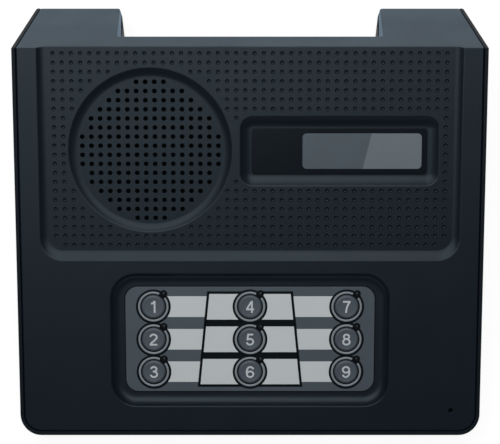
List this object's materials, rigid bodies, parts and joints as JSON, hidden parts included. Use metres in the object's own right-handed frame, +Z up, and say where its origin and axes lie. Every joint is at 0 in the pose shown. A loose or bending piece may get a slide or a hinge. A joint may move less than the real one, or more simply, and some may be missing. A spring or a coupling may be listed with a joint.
{
  "type": "intercom console",
  "caption": "Wedge-shaped desk intercom console with a round speaker grille, a panel of push keys with lamps and name strips, and a cable bay at the back.",
  "frame": {"origin": "middle of the footprint, on the surface that the rubber feet stand on", "axes": "+X to the user's right, +Y from the low front edge to the cable bay at the rear, +Z up"},
  "size_m": [0.2, 0.1964, 0.0605],
  "materials": {
    "case_top": "fine matt grain",
    "case_base": "fine matt grain",
    "badge_gloss": "polished",
    "window_grey": "satin print under a clear film",
    "overlay_film": "satin film",
    "label_white": "printed film",
    "key_grey": "satin",
    "switch_black": "moulded",
    "lamp_clear": "clear moulded lens",
    "lamp_chip": "moulded",
    "circuit_board": "lacquered",
    "chip_black": "moulded",
    "cloth_black": "fine open weave",
    "foam_black": "soft foam",
    "basket_steel": "painted",
    "magnet_ferrite": "ground ferrite",
    "cone_paper": "pressed paper",
    "spring_steel": "plated",
    "mic_can": "satin",
    "capacitor_sleeve": "shrink sleeve",
    "socket_black": "moulded",
    "header_white": "moulded",
    "ribbon_grey": "ribbed",
    "lead_black": "smooth",
    "foot_rubber": "matt"
  },
  "bodies": {
    "housing": {"top_cover": "case_top", "base_tray": "case_base", "badge_plate": "badge_gloss", "badge_window": "window_grey", "key_overlay": "overlay_film", "name_labels": "label_white", "switch_bodies": "switch_black", "led_lenses": "lamp_clear", "led_chips": "lamp_chip", "key_board": "circuit_board", "grille_cloth": "cloth_black", "speaker_gasket": "foam_black", "speaker_basket": "basket_steel", "speaker_magnet": "magnet_ferrite", "speaker_cone": "cone_paper", "speaker_dust_cap": "cone_paper", "speaker_clamps": "spring_steel", "mic_boot": "foam_black", "mic_capsule": "mic_can", "main_board": "circuit_board", "board_chips": "chip_black", "board_capacitors": "capacitor_sleeve", "line_jack_1": "socket_black", "line_jack_2": "socket_black", "power_jack": "socket_black", "ribbon_headers": "header_white", "ribbon_cable": "ribbon_grey", "lead_terminals": "header_white", "speaker_lead": "lead_black", "mic_lead": "lead_black", "rubber_feet": "foot_rubber", "case_screws": "spring_steel"},
    "key_1": {"key_cap_1": "key_grey", "switch_plunger_1": "switch_black"},
    "key_2": {"key_cap_2": "key_grey", "switch_plunger_2": "switch_black"},
    "key_3": {"key_cap_3": "key_grey", "switch_plunger_3": "switch_black"},
    "key_4": {"key_cap_4": "key_grey", "switch_plunger_4": "switch_black"},
    "key_5": {"key_cap_5": "key_grey", "switch_plunger_5": "switch_black"},
    "key_6": {"key_cap_6": "key_grey", "switch_plunger_6": "switch_black"},
    "key_7": {"key_cap_7": "key_grey", "switch_plunger_7": "switch_black"},
    "key_8": {"key_cap_8": "key_grey", "switch_plunger_8": "switch_black"},
    "key_9": {"key_cap_9": "key_grey", "switch_plunger_9": "switch_black"}
  },
  "joints": [
    {"name": "key_1_press", "type": "slide", "parent": "housing", "child": "key_1", "axis": [0, 0.279, -0.9603], "range_m": [0, 0.0005], "stiffness_N_per_m": 400, "springref_m": -0.0005},
    {"name": "key_2_press", "type": "slide", "parent": "housing", "child": "key_2", "axis": [0, 0.279, -0.9603], "range_m": [0, 0.0005], "stiffness_N_per_m": 400, "springref_m": -0.0005},
    {"name": "key_3_press", "type": "slide", "parent": "housing", "child": "key_3", "axis": [0, 0.279, -0.9603], "range_m": [0, 0.0005], "stiffness_N_per_m": 400, "springref_m": -0.0005},
    {"name": "key_4_press", "type": "slide", "parent": "housing", "child": "key_4", "axis": [0, 0.279, -0.9603], "range_m": [0, 0.0005], "stiffness_N_per_m": 400, "springref_m": -0.0005},
    {"name": "key_5_press", "type": "slide", "parent": "housing", "child": "key_5", "axis": [0, 0.279, -0.9603], "range_m": [0, 0.0005], "stiffness_N_per_m": 400, "springref_m": -0.0005},
    {"name": "key_6_press", "type": "slide", "parent": "housing", "child": "key_6", "axis": [0, 0.279, -0.9603], "range_m": [0, 0.0005], "stiffness_N_per_m": 400, "springref_m": -0.0005},
    {"name": "key_7_press", "type": "slide", "parent": "housing", "child": "key_7", "axis": [0, 0.279, -0.9603], "range_m": [0, 0.0005], "stiffness_N_per_m": 400, "springref_m": -0.0005},
    {"name": "key_8_press", "type": "slide", "parent": "housing", "child": "key_8", "axis": [0, 0.279, -0.9603], "range_m": [0, 0.0005], "stiffness_N_per_m": 400, "springref_m": -0.0005},
    {"name": "key_9_press", "type": "slide", "parent": "housing", "child": "key_9", "axis": [0, 0.279, -0.9603], "range_m": [0, 0.0005], "stiffness_N_per_m": 400, "springref_m": -0.0005}
  ]
}
